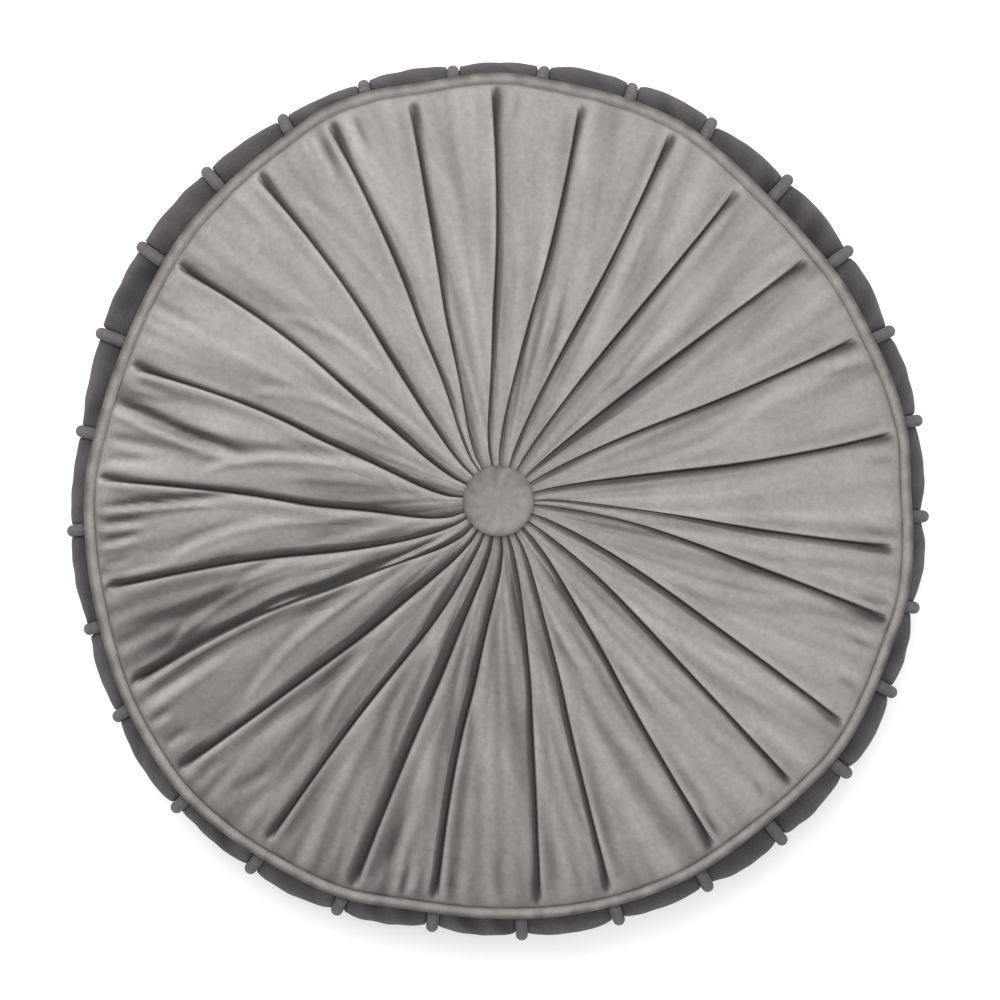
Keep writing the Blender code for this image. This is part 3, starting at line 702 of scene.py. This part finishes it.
def button(name, hub, sign):
    """Cover cloth of a button: its inner face from the pole to the hem, and back outside."""
    cols, outer_rows, inner_rows = 168, 60, 30
    angle = np.linspace(0, 360, cols, endpoint=False)[None, :]
    run = np.linspace(0, 1, outer_rows)[:, None]
    edge = BUTTON_RADIUS / MM - 0.1
    r, h = outline(((16.5, 0.9), (20.5, 0.9), (22.6, 1.1), (23.6, 2.0), (edge, 3.4),
                    (edge, 5.0), (23.2, 6.8), (21.8, 8.6), (19.3, 10.1), (15.6, 11.4),
                    (11.0, 12.35), (6.0, 12.9), (2.0, 13.05), (0.4, 13.08)), outer_rows)
    gather = ripple(51, 18, (14, 40), (0, 3))(angle, run)
    soft = ripple(52, 12, (2, 7), (2, 8))(angle, run)
    calm = 1 - smooth(0.75, 1.0, run)
    r = r * (1 + 0.004 * gather * bell((run - 0.25) / 0.16) * calm)
    h = h + 0.03 * MM * soft * smooth(0.35, 0.6, run) * calm
    outer = xyz(r, angle, hub + sign * h)
    r, h = outline(((0.4, 11.88), (6.0, 11.75), (11.0, 11.15), (15.4, 10.2), (18.6, 9.1),
                    (20.7, 7.8), (22.0, 6.3), (22.6, 4.8), (22.6, 3.2), (22.0, 2.3),
                    (20.4, 2.1), (16.5, 2.1)), inner_rows)
    inner = xyz(r, angle, hub + sign * h)
    fade = 1 - smooth(0.55, 0.95, run)
    tone = np.clip(0.40 + 0.05 * fade * ripple(53, 20, (2, 14), (2, 12))(angle, run), 0, 1)
    # Painted shade on the upper left of the dome's edge and painted light on the lower right,
    # fading towards the top.
    tone -= 0.14 * np.cos(np.radians(angle - 330.0)) * fade
    tone_and_shading = np.concatenate([np.full((inner_rows, cols), 0.5), tone])
    return grid_piece(name, np.concatenate([inner, outer]), capped=True, tone_and_shading=tone_and_shading)


# ---- filling ------------------------------------------------------------------------
def hub_part(radius):
    """The filling lies closer under the cloth beside the buttons than further out."""
    return 0.45 if radius < 0.03 else 1.0


def bag(name, inset, thick, seed):
    """The liner, a thin bag just inside the cover, or the filling, a full form with a bore."""
    rows, cols = 110, 240
    angle = np.linspace(0, 360, cols, endpoint=False)[None, :]
    deep = 12.6 * MM + inset             # under the middle line of the panels' puffs
    behind = 8.5 * MM + inset            # behind the band's line
    radii = (0.0085, 0.026, 0.040, 0.060, 0.085, 0.120, 0.160, 0.200, 0.230, 0.248)
    points = [(r, crown(r) - deep * hub_part(r)) for r in radii]
    for v in (0.10, 0.2, 0.32, 0.44, 0.56, 0.68, 0.8, 0.90):
        ring, z = band_line(v, 0.0, 0.0)
        points.append((ring - behind, z))
    radii = (0.246, 0.228) + radii[7::-1]
    points += [(r, belly(r) + deep * hub_part(r)) for r in radii]
    points = np.array(points, float)
    run = np.linspace(0, len(points) - 1, rows)[:, None]
    r, z = (through(np.arange(len(points)), points[:, axis], run) for axis in (0, 1))
    lump = ripple(seed, 20, (2, 14), (0.1, 0.5))(angle, run)
    hold = smooth(0.03, 0.08, r)
    r = r + MM * hold * (0.4 * lump - 1.0)
    z = z + 0.5 * MM * lump * hold * np.sign(Z_MIDDLE - z)
    sway = RIM_SWAY(angle) * 0.72 * smooth(0.12, 0.27, r)
    outer = xyz(r + np.minimum(sway, 0), angle, z)
    if not thick:
        return grid_piece(name, outer)
    # The inner face lies a thickness towards the middle; beside the bore it only moves in height.
    flat = outer - np.array([0.0, 0.0, Z_MIDDLE])
    length = np.hypot(flat[..., 0], flat[..., 1])
    pull = thick / np.maximum(np.hypot(length, flat[..., 2]), 0.02) * (length > 0.03)
    inner = outer.copy()
    inner[..., :2] -= flat[..., :2] * pull[..., None]
    inner[..., 2] -= np.sign(flat[..., 2]) * np.minimum(thick, np.abs(flat[..., 2]) * 0.05)
    return grid_piece(name, np.concatenate([outer, inner[::-1]]))


# ---- materials ----------------------------------------------------------------------
def new_material(name):
    material = bpy.data.materials.new(name)
    material.use_nodes = True
    return material, material.node_tree, material.node_tree.nodes["Principled BSDF"]


def node(tree, kind, **sockets):
    made = tree.nodes.new(kind)
    for key, value in sockets.items():
        made.inputs[key.replace("_", " ")].default_value = value
    return made


def texture(tree, kind, vector, **sockets):
    made = node(tree, kind, **sockets)
    tree.links.new(vector, made.inputs["Vector"])
    return made.outputs["Fac"]


def half(tree, value, more=None):
    """Half of a value, with another value added where one is given."""
    made = tree.nodes.new("ShaderNodeMath")
    made.operation = "MULTIPLY" if more is None else "MULTIPLY_ADD"
    made.inputs[1].default_value = 0.5
    tree.links.new(value, made.inputs[0])
    if more is not None:
        tree.links.new(more, made.inputs[2])
    return made.outputs[0]


def ramp(tree, value, stops):
    """Colour ramp over (position, colour) stops."""
    made = tree.nodes.new("ShaderNodeValToRGB")
    elements = made.color_ramp.elements
    for element, (place, colour) in zip(elements, (stops[0], stops[-1])):
        element.position = place
        element.color = (*colour, 1)
    for place, colour in stops[1:-1]:
        elements.new(place).color = (*colour, 1)
    tree.links.new(value, made.inputs["Fac"])
    return made.outputs["Color"]


def roughen(tree, shader, value, low, high):
    made = node(tree, "ShaderNodeMapRange", To_Min=low, To_Max=high)
    tree.links.new(value, made.inputs["Value"])
    tree.links.new(made.outputs["Result"], shader.inputs["Roughness"])


def bump(tree, height, strength, distance, below=None):
    made = node(tree, "ShaderNodeBump", Strength=strength, Distance=distance)
    tree.links.new(height, made.inputs["Height"])
    if below is not None:
        tree.links.new(below, made.inputs["Normal"])
    return made.outputs["Normal"]


def fabric(name, dark, light, sheen, pile=1900.0, pile_bump=0.35, roughness=0.9,
           weave=False, use_tone_and_shading=True):
    """Mottled cloth between two colours; with the flag set, each point's painted shade and
    mottling darken it.
    """
    material, tree, shader = new_material(name)
    where = tree.nodes.new("ShaderNodeTexCoord").outputs["Object"]
    cloud = texture(tree, "ShaderNodeTexNoise", where, Scale=38.0, Detail=5.0, Roughness=0.6)
    grain = texture(tree, "ShaderNodeTexNoise", where, Scale=pile, Detail=3.0, Roughness=0.7)
    brush = texture(tree, "ShaderNodeTexNoise", where, Scale=260.0, Detail=3.0, Roughness=0.6)
    colour = ramp(tree, half(tree, cloud, half(tree, brush)), ((0.30, dark), (0.70, light)))
    if use_tone_and_shading:
        tone_and_shading = tree.nodes.new("ShaderNodeAttribute")
        tone_and_shading.attribute_name = "tone_and_shading"
        # The point's painted light and shade, with its own mottling, scale the colour down.
        gains = ((0.0, 0.16), (0.25, 0.40), (0.50, 0.66), (0.75, 0.86), (1.0, 1.0))
        gain = ramp(tree, tone_and_shading.outputs["Fac"], [(place, (g, g, g)) for place, g in gains])
        shade = tree.nodes.new("ShaderNodeMix")
        shade.data_type = "RGBA"
        shade.blend_type = "MULTIPLY"
        # Inputs 0, 6 and 7 are the factor and the two colours, output 2 their product.
        shade.inputs[0].default_value = 1.0
        tree.links.new(colour, shade.inputs[6])
        tree.links.new(gain, shade.inputs[7])
        colour = shade.outputs[2]
    tree.links.new(colour, shader.inputs["Base Color"])
    roughen(tree, shader, grain, max(0.0, roughness - 0.12), min(1.0, roughness + 0.08))
    normal = bump(tree, grain, pile_bump, 0.0006, bump(tree, brush, 0.25, 0.0015))
    if weave:
        wave = texture(tree, "ShaderNodeTexWave", where, Scale=420.0, Distortion=1.5, Detail=1.0)
        normal = bump(tree, wave, 0.35, 0.0006, normal)
    tree.links.new(normal, shader.inputs["Normal"])
    shader.inputs["Sheen Weight"].default_value = sheen
    shader.inputs["Sheen Roughness"].default_value = 0.42
    shader.inputs["Sheen Tint"].default_value = (*light, 1)
    shader.inputs["Specular IOR Level"].default_value = 0.18
    material.diffuse_color = (*light, 1)
    return material


def steel(name):
    """Brushed steel, its scratches drawn out along one axis."""
    material, tree, shader = new_material(name)
    where = tree.nodes.new("ShaderNodeTexCoord").outputs["Object"]
    stretch = node(tree, "ShaderNodeMapping", Scale=(900, 60, 900))
    tree.links.new(where, stretch.inputs["Vector"])
    scratch = texture(tree, "ShaderNodeTexNoise", stretch.outputs["Vector"], Scale=1.0,
                      Detail=4.0)
    colour = ramp(tree, scratch, ((0.0, (0.42, 0.42, 0.43)), (1.0, (0.70, 0.70, 0.71))))
    tree.links.new(colour, shader.inputs["Base Color"])
    roughen(tree, shader, scratch, 0.28, 0.48)
    tree.links.new(bump(tree, scratch, 0.15, 0.0002), shader.inputs["Normal"])
    shader.inputs["Metallic"].default_value = 1.0
    return material


VELVET = fabric("velvet_top", (0.208, 0.195, 0.190), (0.296, 0.279, 0.273), 0.26)
VELVET_WELT = fabric("velvet_welt", (0.190, 0.177, 0.171), (0.282, 0.264, 0.256), 0.26)
# The band and the pipings are the same velvet, painted darker with shade because they face
# sideways, away from the lamps overhead.
VELVET_SIDE_SHADED = fabric("velvet_band_shaded", (0.046, 0.041, 0.045), (0.092, 0.084, 0.090), 0.40)
VELVET_PIPE_SHADED = fabric("velvet_piping_shaded", (0.080, 0.074, 0.079), (0.140, 0.130, 0.137), 0.34)
COTTON = fabric("cotton_lining", (0.62, 0.59, 0.54), (0.80, 0.78, 0.74), 0.1, weave=True,
                use_tone_and_shading=False)
FIBRE = fabric("polyester_fibre", (0.72, 0.72, 0.71), (0.90, 0.90, 0.89), 0.3, pile=700.0,
               pile_bump=0.9, use_tone_and_shading=False)
TWINE = fabric("waxed_twine", (0.36, 0.31, 0.24), (0.58, 0.53, 0.45), 0.05, weave=True,
               roughness=0.6, use_tone_and_shading=False)
STEEL = steel("button_steel")


# ---- the pieces -----------------------------------------------------------------------
def dress(obj, material, replaced):
    """Give a modelled piece its material, hang it under the root body and hide the CAD nodes it
    stands for.
    """
    obj.data.materials.append(material)
    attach(obj, "root")
    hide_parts(*replaced)


def paint(name, material):
    """Give a CAD node that stays as it is a new material."""
    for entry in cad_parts[name].material_slots:
        entry.material = material


dress(panel("top_panel_cloth", True), VELVET, ("top_panel",))
dress(panel("bottom_panel_cloth", False), VELVET, ("bottom_panel",))
dress(side_band(), VELVET_SIDE_SHADED, ("side_band",))
dress(welt("top_welt", Z_TOP, 1.0, 61), VELVET_WELT,
      ("top_welt_cover", "top_welt_cord"))
dress(welt("bottom_welt", Z_BOTTOM, 0.6, 71), VELVET_WELT,
      ("bottom_welt_cover", "bottom_welt_cord"))
for n, place in enumerate(PIPES):
    dress(piping("piping_%02d" % (n + 1), place, 100 + n), VELVET_PIPE_SHADED,
          ("side_piping_%02d" % (n + 1),))
dress(button("top_button", HUB_TOP, 1), VELVET, ("top_button_cover",))
dress(button("bottom_button", HUB_BOTTOM, -1), VELVET, ("bottom_button_cover",))
dress(bag("liner_bag", 0.0, 0.6 * MM, 81), COTTON, ("inner_liner",))
dress(bag("fibre_core", 2.0 * MM, 0.0, 82), FIBRE, ("fibre_fill",))

for side in ("top", "bottom"):
    for part in ("shell", "back", "eye"):
        paint("%s_button_%s" % (side, part), STEEL)
    paint(side + "_gather_thread", TWINE)
paint("tufting_twine", TWINE)


# ---- floor, light and camera ------------------------------------------------------------
def make_floor():
    half_side = 30.0
    mesh = bpy.data.meshes.new("floor")
    mesh.from_pydata([(x * half_side, y * half_side, 0)
                      for x, y in ((-1, -1), (1, -1), (1, 1), (-1, 1))], [], [(0, 1, 2, 3)])
    floor = bpy.data.objects.new("floor", mesh)
    bpy.context.scene.collection.objects.link(floor)
    material, _, shader = new_material("pale_floor")
    shader.inputs["Base Color"].default_value = (0.94, 0.94, 0.94, 1)
    shader.inputs["Roughness"].default_value = 0.9
    shader.inputs["Specular IOR Level"].default_value = 0.1
    mesh.materials.append(material)
    floor.location[2] = -0.6 * MM        # just clear of the underside


def area(name, place, size, power, colour):
    """Square lamp that shines from its place towards the cushion."""
    light = bpy.data.lights.new(name, "AREA")
    light.shape = "SQUARE"
    light.size = size
    light.energy = power
    light.color = colour
    obj = bpy.data.objects.new(name, light)
    bpy.context.scene.collection.objects.link(obj)
    obj.location = place
    obj.rotation_mode = "QUATERNION"
    obj.rotation_quaternion = Vector(place).to_track_quat("Z", "Y")
    obj.visible_camera = False


make_floor()
# A warm lamp from beyond the top of the picture, a cooler one almost overhead.
area("key", (-0.4, 1.5, 2.5), 2.6, 105.0, (1.0, 0.985, 0.965))
area("fill", (0.4, -0.5, 3.3), 3.2, 62.0, (0.97, 0.98, 1.0))
world = bpy.data.worlds.new("studio")
bpy.context.scene.world = world
world.use_nodes = True
world.node_tree.nodes["Background"].inputs["Color"].default_value = (1.0, 1.0, 1.0, 1)
world.node_tree.nodes["Background"].inputs["Strength"].default_value = 0.85
bpy.context.scene.view_settings.view_transform = "Standard"

# The camera looks straight down, with the top of the picture towards +Y.
camera_data = bpy.data.cameras.new("camera")
camera_data.sensor_width = 36.0
camera_data.lens = 184.5
camera_data.clip_end = 50.0
camera = bpy.data.objects.new("camera", camera_data)
camera.location = (0.0010, 0.0007, 3.60)
bpy.context.scene.collection.objects.link(camera)
bpy.context.scene.camera = camera
